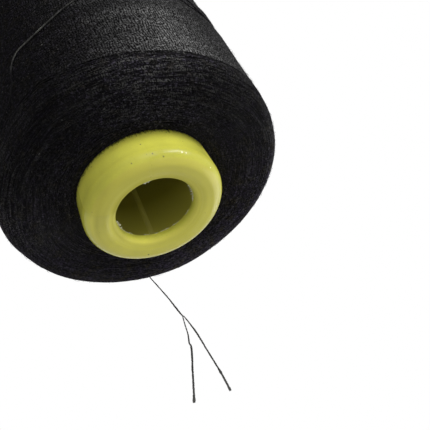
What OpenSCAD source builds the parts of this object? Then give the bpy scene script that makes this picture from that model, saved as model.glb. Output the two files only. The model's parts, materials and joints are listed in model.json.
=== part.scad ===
// A cone of sewing thread: a hollow plastic core with thread cross-wound on it,
// standing on its base. The origin is the centre of the base, and +Z runs up the
// axis to the nose. All lengths are in millimetres, and angles in degrees.

/* [Core] */
// Widest diameter of the plastic core, just above its base
base_d = 45; // [42:0.5:50]
// Height of the core, from its foot ring to the top of its nose
core_h = 145; // [140:1:160]
// Angle between the core's wall and its axis
core_slope = 4.33; // [3.5:0.01:5]
// Thickness of the core's wall
wall = 1.2; // [0.8:0.1:1.5]

/* [Base of the core] */
// Radius that rounds the wall into the base
base_round = 4.4; // [3.2:0.1:4.8]
// Width of the flat foot ring that the core stands on
foot_w = 1.8; // [1:0.1:2.2]
// Depth of the dish between the foot ring and the base hole
dish = 0.5; // [0.2:0.1:1]
// Diameter of the hole in the base
base_hole_d = 25.2; // [20:0.2:26]
// Radius that rounds the base into its hole
base_lip = 1.6; // [1.4:0.1:2]
// Length of the straight land inside the base hole
base_land = 1; // [0.6:0.1:2]

/* [Nose of the core] */
// Diameter of the hole in the nose
nose_hole_d = 15; // [10:0.5:16]
// Radius that rounds the wall into the nose
nose_round = 2; // [1.6:0.1:2.6]

/* [Weld ribs inside the core] */
// Width of each rib where the halves of the mould met
rib_w = 1.5; // [0.8:0.1:2.5]
// Height of each rib above the inner wall
rib_h = 0.6; // [0.3:0.1:1]
// Direction of the first rib, turned from +X
rib_turn = 104; // [0:1:179]

/* [Wound thread] */
// Diameter of the wound thread at its shoulder
package_d = 90.8; // [80:0.2:96]
// Height of the shoulder above the foot ring
shoulder_z = 20.7; // [17:0.1:26]
// Angle between the flank of the wound thread and its axis
flank_slope = 4.33; // [3:0.01:6]
// Height at which the thread starts on the core
wind_base_z = 13; // [11:0.1:15]
// Height at which the flank ends and the upper end begins
flank_top_z = 122; // [110:1:126]
// Height at which the thread ends on the core
wind_top_z = 127; // [124:1:132]
// Angle at which each domed end leaves the core, out of level
dome_angle = 21; // [10:1:30]
// Fullness of each domed end, the length of its curve's handles over its span
dome_fullness = 0.54; // [0.45:0.01:0.62]

/* [Outer turns] */
// Diameter of the thread
thread_d = 0.3; // [0.24:0.02:0.4]
// Turns of the outermost thread over the domed base
dome_turns = 6; // [3:1:7]
// Turns of the outermost thread up the flank
flank_turns = 16; // [8:1:18]
// Clearance between the outermost thread and the thread under it
turn_clear = 0.1; // [0.08:0.02:0.3]

/* [Hidden] */

$fn = 96;
arc_tol = 0.03;
dome_steps = 10;
turn_rings = 24;
turn_sides = 6;
cord_sides = 8;
curve_steps = 2;
seat = 0.02;
yellow = [0.72, 0.73, 0.28];
black = [0.1, 0.1, 0.11];

base_r = base_d / 2;
hole_r = base_hole_d / 2;
nose_hole_r = nose_hole_d / 2;
package_r = package_d / 2;
foot_out_r = base_r - base_round;
foot_in_r = foot_out_r - foot_w;
lip_z = dish + base_lip;
land_top_z = lip_z + base_land;

// Radius of the core's outer wall at a height, on the line that leaves the base
// rounding at a tangent.
function wall_r(z) =
  foot_out_r + base_round / cos(core_slope) - (z - base_round) * tan(core_slope);

// Radius of the core's inner wall at a height.
function inner_r(z) = wall_r(z) - wall / cos(core_slope);

// Radius of the flank of the wound thread at a height.
function flank_r(z) = package_r - (z - shoulder_z) * tan(flank_slope);

nose_z = core_h - nose_round;
nose_r = wall_r(nose_z) - nose_round / cos(core_slope);

function unit(v) = v / norm(v);

// Points of an arc in a plane, from one angle to another, as many as keep its
// straight steps within the tolerance.
function arc(centre, radius, from, to) =
  let (
    step_angle = 2 * acos(max(0, 1 - arc_tol / radius)),
    steps = max(3, ceil(abs(to - from) / step_angle))
  )
  [
    for (i = [0 : steps])
      let (a = from + (to - from) * i / steps)
      centre + radius * [cos(a), sin(a)]
  ];

// A point of a cubic curve with four control points.
function cubic(c, t) =
  pow(1 - t, 3) * c[0]
  + 3 * pow(1 - t, 2) * t * c[1]
  + 3 * (1 - t) * t * t * c[2]
  + pow(t, 3) * c[3];

// Control points of a domed end: from where it meets the core, leaving at an
// angle, to where it meets the flank, along the flank's own direction.
function dome(core_z, leave, rim_z, along) =
  let (
    start = [wall_r(core_z), core_z],
    end = [flank_r(rim_z), rim_z],
    handle = dome_fullness * norm(end - start)
  )
  [start, start + handle * [cos(leave), sin(leave)], end + handle * along, end];

up_flank = [-sin(flank_slope), cos(flank_slope)];
base_dome = dome(wind_base_z, -dome_angle, shoulder_z, -up_flank);
top_dome = dome(wind_top_z, dome_angle, flank_top_z, up_flank);

function dome_points(control) = [
  for (i = [0 : dome_steps])
    cubic(control, i / dome_steps)
];

function reversed(list) = [for (i = [len(list) - 1 : -1 : 0]) list[i]];

// Section of the core's wall, from the land in the base hole round its outside
// to the nose, and back along its inside.
core_section = concat(
  [[hole_r, land_top_z]],
  arc([hole_r + base_lip, lip_z], base_lip, 180, 270),
  [[foot_in_r, 0]],
  arc([foot_out_r, base_round], base_round, -90, core_slope),
  arc([nose_r, nose_z], nose_round, core_slope, 90),
  [[nose_hole_r, core_h], [nose_hole_r, core_h - wall]],
  arc([nose_r, nose_z], nose_round - wall, 90, core_slope),
  arc([foot_out_r, base_round], base_round - wall, core_slope, -90),
  [[foot_in_r, wall]],
  arc([hole_r + base_lip, lip_z], base_lip - wall, 270, 180),
  [[hole_r + wall, land_top_z]]
);

// A rib along the inner wall, rooted in the middle of the wall.
module weld_rib() {
  rib_ends = [base_round, nose_z];
  rotate([90, 0, 0])
    linear_extrude(rib_w, center = true)
      polygon([
        [inner_r(rib_ends[0]) - rib_h, rib_ends[0]],
        [inner_r(rib_ends[0]) + wall / 2, rib_ends[0]],
        [inner_r(rib_ends[1]) + wall / 2, rib_ends[1]],
        [inner_r(rib_ends[1]) - rib_h, rib_ends[1]]
      ]);
}

module cone_core() {
  color(yellow) {
    rotate_extrude()
      polygon(core_section);
    for (turn = [rib_turn, rib_turn + 180])
      rotate([0, 0, turn])
        weld_rib();
  }
}

// The thread wound on the core: two domed ends and a straight flank, seated on
// the core's wall.
module thread_body() {
  color(black)
    rotate_extrude()
      polygon(concat(dome_points(base_dome), reversed(dome_points(top_dome))));
}

// A tube along a path, as rings of points joined by triangles. Each ring stands
// square to the path, and turns no more than the path makes it.
module tube(path, diameter, sides, first_side) {
  last = len(path) - 1;
  ahead = [
    for (i = [0 : last])
      unit(path[min(i + 1, last)] - path[max(i - 1, 0)])
  ];
  across = [
    for (
      i = 0, side = first_side;
      i <= last;
      side = i < last ? side - (side * ahead[i + 1]) * ahead[i + 1] : side,
      i = i + 1
    )
      unit(side - (side * ahead[i]) * ahead[i])
  ];
  points = [
    for (i = [0 : last], k = [0 : sides - 1])
      let (a = 360 * k / sides, third = cross(ahead[i], across[i]))
      path[i] + diameter / 2 * (cos(a) * across[i] + sin(a) * third)
  ];
  walls = [
    for (i = [0 : last - 1], k = [0 : sides - 1])
      let (
        a = i * sides + k,
        b = i * sides + (k + 1) % sides,
        c = b + sides,
        d = a + sides
      )
      each [[a, d, c], [a, c, b]]
  ];
  end = last * sides;
  caps = [
    for (k = [1 : sides - 2])
      each [[0, k, k + 1], [end, end + k + 1, end + k]]
  ];
  polyhedron(points, concat(walls, caps));
}

// A place on the wound thread's section, as [radius, height], by how many turns
// the outermost thread has made. It starts a little way out from the core.
dome_start = 0.06;
function wound_at(turn) =
  turn < dome_turns
    ? cubic(base_dome, dome_start + (1 - dome_start) * turn / dome_turns)
    : base_dome[3] + (top_dome[3] - base_dome[3]) * (turn - dome_turns) / flank_turns;

// The same place moved out square to the surface, and turned round the axis. A
// ring stands out by the share that keeps the straight runs between rings clear.
small = 0.01;
function turn_point(turn, out) =
  let (
    here = wound_at(turn),
    along = unit(wound_at(turn + small) - wound_at(turn - small)),
    radius = (here.x + out * along.y) / cos(180 / turn_rings)
  )
  [radius * cos(-360 * turn), radius * sin(-360 * turn), here.y - out * along.x];

turns = dome_turns + flank_turns;
turn_out = thread_d / 2 + turn_clear;

// The outermost thread is one run from the base to the upper end. Each end stands
// straight out of the surface for one thread's diameter.
outer_path = concat(
  [turn_point(0, seat), turn_point(0, seat + thread_d)],
  [for (i = [1 : turns * turn_rings - 1]) turn_point(i / turn_rings, turn_out)],
  [turn_point(turns, seat + thread_d), turn_point(turns, seat)]
);

// Least distance between places on the outermost thread half a turn or more apart.
function least_gap(path, step) = min([
  for (i = [0 : len(path) - 1 - step])
    min([for (j = [i + step : len(path) - 1]) norm(path[i] - path[j])])
]) - thread_d;

module outer_turns() {
  echo(least_gap_of_outer_turns = least_gap(outer_path, turn_rings / 2));
  color(black)
    tube(outer_path, thread_d, turn_sides, [0, 0, 1]);
}

// The loose end lies round the flank as a slack turn over the outer turns. Its
// places are chosen by hand: [direction from +X, height, distance out].
slack_turn = [
  [40, 62, 0.02],
  [40, 62, 0.5],
  [38, 62, 0.9],
  [24, 62, 0.9],
  [5, 61.8, 0.8],
  [-15, 61.2, 0.8],
  [-34, 59.6, 0.8],
  [-52, 58.2, 0.9],
  [-70, 57, 0.9],
  [-85, 54.8, 0.8],
  [-97, 50.7, 0.8],
  [-108, 48.2, 0.8],
  [-115, 47.5, 0.8],
  [-119.5, 44, 0.8],
  [-121.5, 37.5, 0.8],
  [-125, 31.5, 0.9],
  [-134, 28, 1],
  [-152, 26, 1.1],
  [-172, 25.2, 1],
  [-192, 24.8, 1],
  [-212, 24.6, 1],
  [-232, 24.2, 1],
  [-247, 22.4, 0.9]
];

// Then it falls off the shoulder to the floor, behind the cone.
fall_to_floor = [
  [-13.6, 44.5, 19.3],
  [-12.1, 46.3, 15.4],
  [-10.4, 48.7, 10.6],
  [-8.5, 51.5, 5],
  [-7.2, 53.3, 1.3],
  [-6.6, 54.2, 0.2]
];

// The cut end has come apart into its two plies, which lie on the floor.
ply_left = [
  [-6.8, 54.2, 0.2],
  [-7.2, 57.5, 0.2],
  [-8, 65.4, 0.2],
  [-8.7, 70.4, 0.2],
  [-10, 77.6, 0.2],
  [-13.3, 91, 0.2],
  [-16.9, 106, 0.2]
];
ply_right = [
  [-6.4, 54.2, 0.2],
  [-5.9, 57.6, 0.2],
  [-4.9, 66, 0.2],
  [-4.1, 79.6, 0.2],
  [-3.2, 94, 0.2],
  [-2.7, 109, 0.2]
];

function on_flank(place) =
  let (radius = flank_r(place.y) + place.z)
  [radius * cos(place.x), radius * sin(place.x), place.y];

// Points of a smooth curve through a route.
function smooth(route) = [
  for (i = [0 : len(route) - 2], step = [0 : curve_steps - 1])
    let (
      last = len(route) - 1,
      a = route[max(i - 1, 0)],
      b = route[i],
      c = route[i + 1],
      d = route[min(i + 2, last)],
      t = step / curve_steps
    )
    (2 * b + (c - a) * t + (2 * a - 5 * b + 4 * c - d) * t * t
      + (3 * b - a - 3 * c + d) * t * t * t) / 2,
  route[len(route) - 1]
];

module loose_thread(route) {
  color(black)
    tube(smooth(route), thread_d, cord_sides, [0, 0, 1]);
}

module thread_tail() {
  loose_thread(concat([for (place = slack_turn) on_flank(place)], fall_to_floor));
}

module tail_ply_left() {
  loose_thread(ply_left);
}

module tail_ply_right() {
  loose_thread(ply_right);
}

cone_core();
thread_body();
outer_turns();
thread_tail();
tail_ply_left();
tail_ply_right();
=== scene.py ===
"""Builds the looks of a cone of sewing thread round its packed frame: a moulded plastic core, the thread
wound on it in crossing layers, and the loose end that lies behind it. All lengths are in metres."""

import json
import math

import bpy
import numpy as np
from bpy.props import FloatProperty, FloatVectorProperty, IntProperty, PointerProperty
from mathutils import Matrix, Vector


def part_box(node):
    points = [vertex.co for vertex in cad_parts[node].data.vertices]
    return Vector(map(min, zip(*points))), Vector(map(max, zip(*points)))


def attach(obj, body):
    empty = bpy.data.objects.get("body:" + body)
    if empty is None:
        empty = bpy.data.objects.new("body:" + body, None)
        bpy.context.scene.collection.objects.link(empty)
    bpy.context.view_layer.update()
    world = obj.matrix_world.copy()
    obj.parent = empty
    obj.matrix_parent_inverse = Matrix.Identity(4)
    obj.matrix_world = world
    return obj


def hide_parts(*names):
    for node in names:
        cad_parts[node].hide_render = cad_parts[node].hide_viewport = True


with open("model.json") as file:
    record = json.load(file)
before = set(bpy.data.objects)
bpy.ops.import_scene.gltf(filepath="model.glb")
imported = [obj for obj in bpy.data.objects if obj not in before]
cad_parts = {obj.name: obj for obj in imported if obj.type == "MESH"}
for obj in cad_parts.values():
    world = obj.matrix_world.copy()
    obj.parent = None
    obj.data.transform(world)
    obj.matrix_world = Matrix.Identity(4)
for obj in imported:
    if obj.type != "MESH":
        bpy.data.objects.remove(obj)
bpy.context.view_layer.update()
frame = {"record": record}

bl_info = {
    "name": "Cone of sewing thread",
    "version": (1, 0, 0),
    "blender": (4, 5, 0),
    "location": "3D View > Sidebar > Thread cone",
    "description": "Builds a thread cone's core, winding, loose end and stage round its packed frame",
    "category": "Object",
}

MM = 0.001
MOUNTS = {mount["name"]: mount for mount in frame["record"]["mounts"]}
CORE_LOW, CORE_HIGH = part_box("cone_core")
UP = np.array([0.0, 0.0, 1.0])
# The point that the lights face.
LIT_POINT = Vector((0, 0, 0.03))
FULL_CIRCLE = 2 * math.pi
# Points on a curve: between two places of a loose thread's route, and in a turn of thread on the flank.
ROUTE_STEPS, FLANK_STEPS = 8, 66
# Seeds of the random draws.
SEEDS = {
    "mould_flash": 53,
    "wound_thread": 11,
    "flank_thread": 23,
    "base_end_thread": 41,
    "nose_end_thread": 43,
    "thread_fuzz": 31,
    "slipped_strands": 67,
    "loose_end": 61,
}
# A drawn thread's radius, as a share of the thread's diameter: a little over half, so that turns touch.
THREAD_SHARE = 0.56
# How far a loose turn's middle stays from the swellings of the thread below it.
CLEAR = 0.36 * MM
# Up to this far out, a loose turn goes into the thread below it.
TOUCHING = 0.31 * MM
# How far the wound thread's own surface lies under the outermost threads, and inside the core's wall.
UNDER = 0.12 * MM
SEATED = 0.3 * MM


# ---- sizes and colours


def metres(name, description, default):
    """A property that holds a length."""
    return FloatProperty(name=name, description=description, default=default, unit="LENGTH")


def degrees(name, description, default):
    """A property that holds an angle, with its default in degrees."""
    return FloatProperty(name=name, description=description, default=math.radians(default), subtype="ANGLE")


def rgb(name, description, default):
    """A property that holds a colour."""
    return FloatVectorProperty(name=name, description=description, default=default, subtype="COLOR", size=3)


def whole(name, description, default, least=8):
    """A property that holds a number of threads."""
    return IntProperty(name=name, description=description, default=default, min=least)


class CoreSizes(bpy.types.PropertyGroup):
    """Sizes of the plastic core."""

    diameter: metres("Diameter", "Widest diameter of the core, just above its base", 45 * MM)
    height: metres("Height", "Height of the core from its foot ring to its nose", CORE_HIGH.z - CORE_LOW.z)
    slope: degrees("Slope", "Angle between the core's wall and its axis", 4.33)
    wall: metres("Wall", "Thickness of the core's wall", 1.2 * MM)
    base_round: metres("Base rounding", "Radius that rounds the wall into the base", 4.4 * MM)
    foot_width: metres("Foot width", "Width of the flat foot ring that the core stands on", 1.8 * MM)
    dish: metres("Dish", "Depth of the dish between the foot ring and the base hole", 0.5 * MM)
    hole_radius: metres(
        "Base hole radius", "Radius of the hole in the base", MOUNTS["base_hole"]["dims"]["r_mm"] * MM
    )
    lip: metres("Lip", "Radius that rounds the base into its hole", 1.6 * MM)
    land: metres(
        "Land",
        "Length of the straight land inside the base hole",
        MOUNTS["base_hole"]["dims"]["length_mm"] * MM,
    )
    nose_hole_radius: metres(
        "Nose hole radius", "Radius of the hole in the nose", MOUNTS["nose_hole"]["dims"]["r_mm"] * MM
    )
    nose_round: metres("Nose rounding", "Radius that rounds the wall into the nose", 2 * MM)
    rib_width: metres("Rib width", "Width of each weld rib inside the core", 1.5 * MM)
    rib_height: metres("Rib height", "Height of each weld rib above the inner wall", 0.6 * MM)
    rib_turn: degrees("Rib direction", "Direction of the first weld rib, turned from +X", 102)


class WindingSizes(bpy.types.PropertyGroup):
    """Sizes of the thread wound on the core."""

    diameter: metres("Diameter", "Diameter of the wound thread at its shoulder", 90.8 * MM)
    shoulder_height: metres("Shoulder height", "Height of the shoulder above the foot ring", 20.7 * MM)
    slope: degrees("Flank slope", "Angle between the flank of the wound thread and its axis", 4.33)
    base_height: metres("Base height", "Height at which the thread starts on the core", 13 * MM)
    flank_top: metres(
        "Top of the flank", "Height at which the flank ends and the upper end begins", 122 * MM
    )
    top_height: metres("Top height", "Height at which the thread ends on the core", 127 * MM)
    dome_angle: degrees("Dome angle", "Angle at which each domed end leaves the core, out of level", 21)
    dome_fullness: FloatProperty(
        name="Dome fullness", description="Length of a domed end's curve handles over its span", default=0.54
    )
    thread: metres("Thread", "Diameter of the thread", 0.3 * MM)
    wind_angle: degrees("Wind angle", "Angle at which the thread crosses the flank, out of level", 19)
    runs: whole("Runs", "Double runs of thread up and down the flank that make the outermost layer", 172)
    base_arcs: whole(
        "Base arcs", "Arcs of thread that show on the domed base, where the thread turns back", 900
    )
    nose_arcs: whole("Nose arcs", "Arcs of thread that show on the upper end", 420)
    fibres: whole("Fibres", "Fine fibres that stand out of the wound thread", 9000, 0)


class Finish(bpy.types.PropertyGroup):
    """Colours of the object and its stage."""

    plastic: rgb("Plastic", "Colour of the core's plastic", (0.63, 0.615, 0.088))
    # The hollow colours are painted shade and painted light: darker deep inside, where the dark thread
    # behind the wall lets less light through, and paler near the base, where light comes through the bare
    # wall.
    hollow: rgb(
        "Hollow",
        "Colour deep inside the core, whose wall is backed by the dark thread",
        (0.375, 0.342, 0.05),
    )
    hollow_painted_light: rgb(
        "Low hollow",
        "Colour inside the core near its base, where light comes through the bare wall",
        (0.9, 0.86, 0.19),
    )
    thread: rgb("Wound thread", "Colour of the wound thread", (0.0052, 0.0049, 0.0058))
    # The flank thread's colour is a painted sheen: the thread where the light falls on it.
    thread_painted_sheen: rgb(
        "Flank thread", "Colour of the tight thread on the flank, which has a sheen", (0.046, 0.046, 0.0455)
    )
    fibre: rgb("Fibres", "Colour of the palest fibres that stand out of the thread", (0.05, 0.05, 0.048))
    slack: rgb("Slack turn", "Colour of the slack turn where it catches the light", (0.07, 0.07, 0.064))
    loose_thread: rgb(
        "Loose plies",
        "Colour of the two plies on the floor, which are fluffy and paler",
        (0.045, 0.045, 0.042),
    )
    floor: rgb("Floor", "Colour of the floor", (0.92, 0.92, 0.92))


SETTINGS = {
    "cone_core_sizes": CoreSizes,
    "cone_winding_sizes": WindingSizes,
    "cone_finish": Finish,
}

# The loose end's route, as in the part's own source, in millimetres and degrees: a slack turn round the
# flank as (direction from +X, height, distance out), then places that fall to the floor, then the two plies.
SLACK_TURN = (
    (40, 62, 0.02), (40, 62, 0.5), (38, 62, 0.9), (24, 62, 0.9), (5, 61.8, 0.8), (-15, 61.2, 0.8),
    (-34, 59.6, 0.8), (-52, 58.2, 0.9), (-70, 57, 0.9), (-85, 54.8, 0.8), (-97, 50.7, 0.8),
    (-108, 48.2, 0.8), (-115, 47.5, 0.8), (-119.5, 44, 0.8), (-121.5, 37.5, 0.8), (-125, 31.5, 0.9),
    (-134, 28, 1), (-152, 26, 1.1), (-172, 25.2, 1), (-192, 24.8, 1), (-212, 24.6, 1), (-232, 24.2, 1),
    (-247, 22.4, 0.9),
)
FALL_TO_FLOOR = (
    (-13.6, 44.5, 19.3), (-12.1, 46.3, 15.4), (-10.4, 48.7, 10.6), (-8.5, 51.5, 5), (-7.2, 53.3, 1.3),
    (-6.6, 54.2, 0.2),
)
PLY_LEFT = (
    (-6.8, 54.2, 0.2), (-7.2, 57.5, 0.2), (-8, 65.4, 0.2), (-8.7, 70.4, 0.2), (-10, 77.6, 0.2),
    (-13.3, 91, 0.2), (-16.9, 106, 0.2),
)
PLY_RIGHT = (
    (-6.4, 54.2, 0.2), (-5.9, 57.6, 0.2), (-4.9, 66, 0.2), (-4.1, 79.6, 0.2), (-3.2, 94, 0.2),
    (-2.7, 109, 0.2),
)

# Layers that end below the shoulder, in millimetres along the dome: where each starts and ends, and its step
# back. The steps are deepest in one direction, and shallow on the other side.
TERRACE_TURN, TERRACE_SPREAD, TERRACE_LEAST = math.radians(-48), 0.6, 0.15
TERRACES = ((0, 2.3, 0.22), (2.3, 5, 0.26), (5, 8.2, 0.2), (8.2, 12, 0.13), (12, 17, 0.09))
# How high the outermost layer ends above the shoulder, by direction from +X, in degrees and millimetres.
EDGE_RISE = (
    (-180, 2.5), (-145, 6), (-110, 7.4), (-95, 4), (-85, 2.6), (-76, 1.4), (-67, 0.1), (-50, -0.4),
    (-41, -0.8), (-31, -0.3), (-20, 1.2), (0, 1), (50, 0.2), (110, 1), (180, 2.5),
)
# Slow waves in the wound thread: times round the axis, radians per metre of height, start in radians, and
# size in millimetres.
WAVES = ((2, 0, 0.7, 0.05), (3, 90, 2.1, 0.03), (5, -160, 0, 0.04))
# Unevenness of the flank by height, on the side of one direction, and of the shoulder by direction, about
# one height: both in millimetres and degrees.
FULL_TURN, FULL_SPREAD = math.radians(-14), 0.3
ROUND_HEIGHT, ROUND_REACH = 17, 9
FULL_SIDE = (
    (21, -0.15), (29, 0), (36, 0.28), (40, 0.46), (44, 0.65), (49, 0.88), (53, 0.72), (56, 0.68),
    (58, 0.82), (60, 1.12), (62, 0.74), (64, 0.1), (66.5, -0.25), (69, 0.25), (71, 0.75), (73, 0.85),
    (80, 0.6), (95, 0.3), (120, 0),
)
FULL_ROUND = (
    (-40, 0), (-5, -0.1), (10, -0.02), (30, -0.2), (38, -0.38), (46, -0.5), (58, -0.46), (72, -0.3),
    (80, 0.05), (87, 0.3), (92, 0.3), (98, 0.18), (104, 0), (115, -0.15), (130, -0.2), (150, 0),
    (166, -0.16), (170, -0.06), (174, 0.22), (180, 0.55), (186, 0.52), (196, 0.3), (215, 0),
)
# A weld rib's section, as (share of its width, share of its height).
RIB_SECTION = ((-0.5, 0.4), (-0.42, -0.6), (-0.2, -1), (0.2, -1), (0.42, -0.6), (0.5, 0.4))
DIRT = (0.1, 0.095, 0.04)
# A painted glint of light.
PAINTED_GLINT = (1.0, 1.0, 0.72)
# Dark specks in the plastic, and painted glints of light on its rounding: direction from +X, distance from
# the axis, height and size, in degrees and millimetres, and colour.
SPECKS = (
    (-79.9, 22.3, 7.5, 0.3, DIRT), (-74.3, 22.1, 2.6, 0.3, DIRT), (-66.3, 21.3, 1.4, 0.35, DIRT),
    (-92.2, 21.8, 2.0, 0.3, DIRT), (115.7, 18.4, 0.0, 0.35, DIRT), (-50.1, 22.0, 2.4, 0.3, PAINTED_GLINT),
    (-46.3, 22.0, 2.4, 0.28, PAINTED_GLINT), (-18.1, 21.4, 1.5, 0.28, PAINTED_GLINT),
)
# Mould flash on the edge of the base hole: where it starts and ends, how far it reaches in, and its height,
# in degrees and millimetres.
FLASH = (
    (-91.5, -79, 0.75, 1.1), (-16, 24, 0.85, 2.4), (40, 52, 0.15, 3), (66, 78, 0.3, 3.1),
    (84, 97, 0.35, 3.1), (100, 106, 0.2, 3.1), (113, 122, 0.25, 3.1), (140, 163, 0.45, 3),
    (163, 186, 1, 2.6),
)
# How strong the painted sheen on the flank's thread is, by direction: a painted highlight where the key
# light falls.
PAINTED_SHEEN = (
    (-180, 0.0), (-125, 0.0), (-110, 0.01), (-102, 0.05), (-95, 0.05), (-88, 0.11), (-82, 0.24),
    (-75, 0.37), (-68, 0.6), (-60, 0.84), (-52, 0.92), (-42, 0.5), (-32, 0.24), (-22, 0.19), (-10, 0.2),
    (20, 0.25), (60, 0.05), (180, 0.0),
)

# Painted light and shade on the thread above the outermost layer's edge: how bright it is, by direction.
FLANK_PAINTED_LIGHT = (
    (-180, 1.5), (-162, 1.2), (-148, 0.7), (-138, 0.62), (-20, 0.62), (10, 1.5), (40, 2.4), (100, 2.4),
    (150, 1.8), (180, 1.5),
)
# Painted light and shade on the thread below that edge: how bright it is, by direction, near the core and
# near the edge.
DOME_PAINTED_LIGHT = (
    (-180, 1.85, 2.8), (-170, 1.95, 2.7), (-150, 1.75, 1.15), (-130, 1.7, 0.75), (-110, 1.55, 0.6),
    (-90, 1.6, 0.95), (-70, 1.95, 2.05), (-50, 1.62, 1.3), (-30, 1.5, 0.85), (-10, 1.9, 1), (10, 2.6, 2.5),
    (30, 2.8, 5), (50, 3.2, 5), (70, 4.2, 6), (90, 5.0, 7.2), (110, 3.4, 3.8), (130, 3.2, 3.8),
    (150, 2.2, 3), (170, 1.65, 2.9), (180, 1.85, 2.8),
)
# How even the thread on the domed ends looks, by direction.
CALM = (
    (-180, 0.5), (-150, 0.45), (-125, 0.6), (-108, 0.7), (-96, 0.35), (-85, 0.05), (-55, 0), (-30, 0.25),
    (-15, 0.5), (25, 0.8), (60, 1.2), (100, 1.4), (140, 1.3), (165, 0.9), (180, 0.5),
)
# Painted light on the core's lip: how bright it is, by direction, where light comes through it on the side
# away from the key light.
LIP_PAINTED_LIGHT = (
    (-180, 0.76), (-150, 0.78), (-110, 0.95), (-60, 1.0), (15, 1.0), (60, 1.06), (95, 1.22), (124, 1.38),
    (145, 1.2), (162, 0.9), (180, 0.76),
)

# Painted light and shade on the plastic, as shares of its colour by direction: on the flat base, and on its
# rounding and the wall above that.
FACE_PAINTED_LIGHT = (
    (-180, 0.98), (-165, 0.88), (-150, 0.86), (-125, 0.93), (-90, 0.97), (-50, 0.99), (0, 1.04), (28, 1.1),
    (80, 1.05), (130, 1.03), (160, 1.04), (180, 0.98),
)
WALL_PAINTED_LIGHT = (
    (-180, 1.2, 1.3), (-165, 1.28, 1.35), (-156, 1.22, 1.3), (-147, 1, 1.1), (-138, 0.92, 0.99),
    (-125, 0.84, 1), (-108, 0.92, 1.02), (-80, 0.92, 1.04), (-55, 0.88, 1.07), (-26, 0.92, 0.86),
    (0, 0.97, 0.92), (30, 1, 1), (120, 1, 1), (160, 1.05, 1.1), (180, 1.2, 1.3),
)

# Two strands that have slipped down the flank, as (direction, height, distance out).
SLIPPED_STRANDS = (
    (
        (-60, 63, 0.1), (-46, 60.5, 0.4), (-34.9, 56.5, 0.4), (-32.2, 54.9, 0.4), (-28.7, 54.4, 0.4),
        (-25.8, 54.3, 0.4), (-22, 53.7, 0.4), (-17, 53.9, 0.4), (-11, 53.9, 0.3), (0, 53.7, 0.1),
    ),
    (
        (-58, 66, 0.1), (-40, 62, 0.4), (-30, 59.2, 0.4), (-26.7, 56.8, 0.4), (-23.6, 55.5, 0.4),
        (-20.4, 54.2, 0.4), (-13, 54.3, 0.3), (0, 54.4, 0.1),
    ),
)
# How far the loose end drifts along +X, and how full each thread is, by share of its length.
TAIL_DRIFT = ((0, 0), (0.8, 0), (0.84, 0.4), (0.88, 0.7), (0.93, 0.6), (0.97, 0.55), (1, 0))
LEFT_DRIFT = (
    (0, 0), (0.2, 0.1), (0.26, -0.1), (0.3, -0.2), (0.33, 0.3), (0.4, 0.2), (0.6, 0), (0.7, 0.1), (1, 0),
)
EVEN = ((0, 1), (1, 1))
FULLNESS = {
    "thread_tail": (
        (0, 1), (0.35, 1), (0.4, 1.5), (0.43, 1.6), (0.46, 1.2), (0.9, 1), (0.955, 1.3), (0.985, 1.9),
        (1, 1.6),
    ),
    "tail_ply_left": (
        (0, 0.66), (0.12, 0.75), (0.3, 1.2), (0.36, 1.6), (0.6, 1.6), (0.9, 1.7), (0.97, 2.7), (1, 2.2),
    ),
    "tail_ply_right": (
        (0, 0.7), (0.08, 0.9), (0.22, 1.4), (0.36, 1.2), (0.68, 1.3), (0.74, 2.1), (0.8, 1.6), (1, 2.3),
    ),
}
# How loose thread is made up: strands, length of one turn of them, and how far they stand apart and their
# radius, as shares of the thread's diameter.
SPUN = (2, 1.3 * MM, 0.3, 0.38)
WORN = (2, 1.3 * MM, 0.3, 0.36)
LOOSE_PLY = (5, 3.1 * MM, 0.5, 0.36)
# The lights: direction, distance, width, height and watts, and the way that a long narrow one lies.
LIGHTS = {
    "key": ((0.87, -0.48, 0.04), 1.0, 0.7, 0.5, 4),
    "slit": ((0.85, -0.52, 0.0), 1.0, 0.5, 0.05, 2, (0.25, 0.43, 0.245)),
    "overhead": ((0.3, -0.95, -0.1), 1.2, 0.7, 0.7, 5.8),
    "bounce": ((0.55, 0.75, -0.4), 1.2, 0.8, 0.8, 4.3),
    "top": ((0.35, 0.6, 1.0), 1.2, 0.8, 0.8, 8),
}
FLOOR_RADIUS, FLOOR_CORNERS = 0.9, 96


# ---- shape helpers


def arc(centre, radius, start, stop, steps=16):
    """Points of an arc in the section plane, between two angles in degrees."""
    turn = np.radians(np.linspace(start, stop, steps + 1))
    return np.stack([centre[0] + radius * np.cos(turn), centre[1] + radius * np.sin(turn)], axis=1)


def cubic(control, share):
    """Points of a cubic curve with four control points, at shares of its length from 0 to 1."""
    a, b, c, d = (np.array(p) for p in control)
    t = np.asarray(share)[:, None]
    return (1 - t) ** 3 * a + 3 * (1 - t) ** 2 * t * b + 3 * (1 - t) * t * t * c + t**3 * d


def smooth_route(route):
    """Points of a smooth curve through a route."""
    route = np.array(route, float)
    last = len(route) - 1
    points = []
    for i in range(last):
        a, b, c, d = route[max(i - 1, 0)], route[i], route[i + 1], route[min(i + 2, last)]
        for t in np.arange(ROUTE_STEPS) / ROUTE_STEPS:
            bend = (2 * a - 5 * b + 4 * c - d) * t * t + (3 * b - a - 3 * c + d) * t**3
            points.append((2 * b + (c - a) * t + bend) / 2)
    points.append(route[last])
    return np.array(points)


def reached(points):
    """Distance along a line of points, at each of them."""
    return np.concatenate([[0], np.cumsum(np.linalg.norm(np.diff(points, axis=0), axis=1))])


def spaced(points, step):
    """Points at even steps along a line."""
    reach = reached(points)
    places = np.linspace(0, reach[-1], max(2, round(reach[-1] / step) + 1))
    return np.stack([np.interp(places, reach, points[:, k]) for k in range(3)], axis=1)


def turned(radius, azimuth, height):
    """Points at distances from the axis, directions and heights."""
    places = np.broadcast_arrays(radius * np.cos(azimuth), radius * np.sin(azimuth), height)
    return np.stack(places, axis=-1)


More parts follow.
